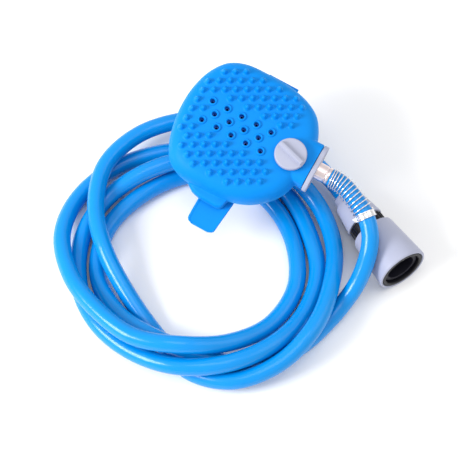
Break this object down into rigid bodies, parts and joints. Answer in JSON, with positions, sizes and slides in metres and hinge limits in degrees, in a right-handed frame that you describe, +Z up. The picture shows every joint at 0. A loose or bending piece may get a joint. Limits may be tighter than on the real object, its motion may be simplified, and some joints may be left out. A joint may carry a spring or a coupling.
{
  "type": "handheld_bath_sprayer",
  "caption": "Palm-worn pet bath sprayer: a soft scrub head with nubs and spray holes, hand strap and water knob, on a long coiled hose with a quick connector",
  "frame": {"origin": "centre of the flat palm face of the scrub head", "axes": "+Z up, +X the way the neck and its water inlet point in plan; the scrub face looks up and the strap's pull tab points to -Y"},
  "size_m": [0.2398, 0.2142, 0.0833],
  "materials": {
    "silicone": "satin moulded silicone",
    "shell_plastic": "moulded, hidden under the cover",
    "grey_plastic": "fine satin moulding",
    "hose_plastic": "soft glossy tube",
    "black_plastic": "moulded with ribs",
    "charcoal_plastic": "moulded",
    "steel": "bright drawn wire and plated screws",
    "plated_metal": "soft plated finish",
    "brass": "machined",
    "seal_rubber": "moulded"
  },
  "bodies": {
    "handset": {"silicone_cover": "silicone", "hand_strap": "silicone", "front_shell": "shell_plastic", "rear_shell": "shell_plastic", "strap_peg_1": "shell_plastic", "strap_peg_2": "shell_plastic", "strap_peg_3": "shell_plastic", "strap_peg_4": "shell_plastic", "valve_body": "grey_plastic", "end_plate": "grey_plastic", "connector_nut": "grey_plastic", "hose_lead": "hose_plastic", "hose": "hose_plastic", "hose_collet": "black_plastic", "grip_ring": "black_plastic", "connector_body": "charcoal_plastic", "shell_screw_1": "steel", "shell_screw_2": "steel", "shell_screw_3": "steel", "shell_screw_4": "steel", "plate_screw_1": "steel", "plate_screw_2": "steel", "spring_guard": "steel", "guard_ferrule": "steel", "sleeve_spring": "steel", "inlet_spigot": "plated_metal", "shell_seal": "seal_rubber", "spigot_seal": "seal_rubber", "connector_ring_seal": "seal_rubber"},
    "knob": {"valve_knob": "grey_plastic", "valve_plug": "brass", "plug_ring_lower": "seal_rubber", "plug_ring_upper": "seal_rubber", "plug_clip": "steel"},
    "sleeve": {"connector_sleeve": "grey_plastic", "lip_ring": "black_plastic"},
    "claw_1": {"locking_claw_1": "charcoal_plastic"},
    "claw_2": {"locking_claw_2": "charcoal_plastic"},
    "claw_3": {"locking_claw_3": "charcoal_plastic"},
    "claw_4": {"locking_claw_4": "charcoal_plastic"}
  },
  "joints": [
    {"name": "valve_knob_turn", "type": "hinge", "parent": "handset", "child": "knob", "pos_m": [0.03272, -0.00382, 0.01728], "axis": [0.1371, -0.1736, 0.9752], "range_deg": [-75, 15]},
    {"name": "sleeve_slide", "type": "slide", "parent": "handset", "child": "sleeve", "axis": [-0.8654, 0.4936, -0.0858], "range_m": [0, 0.005], "stiffness_N_per_m": 1500, "springref_m": -0.004, "deforming": ["sleeve_spring"]},
    {"name": "claw_1_slide", "type": "slide", "parent": "handset", "child": "claw_1", "axis": [-0.403, -0.5842, 0.7045], "range_m": [0, 0.0015]},
    {"name": "claw_2_slide", "type": "slide", "parent": "handset", "child": "claw_2", "axis": [-0.2976, -0.6443, -0.7045], "range_m": [0, 0.0015]},
    {"name": "claw_3_slide", "type": "slide", "parent": "handset", "child": "claw_3", "axis": [0.403, 0.5842, -0.7045], "range_m": [0, 0.0015]},
    {"name": "claw_4_slide", "type": "slide", "parent": "handset", "child": "claw_4", "axis": [0.2976, 0.6443, 0.7045], "range_m": [0, 0.0015]}
  ],
  "couplings": [
    {"joint": "claw_1_slide", "follows": "sleeve_slide", "ratio": 0.3},
    {"joint": "claw_2_slide", "follows": "sleeve_slide", "ratio": 0.3},
    {"joint": "claw_3_slide", "follows": "sleeve_slide", "ratio": 0.3},
    {"joint": "claw_4_slide", "follows": "sleeve_slide", "ratio": 0.3}
  ]
}
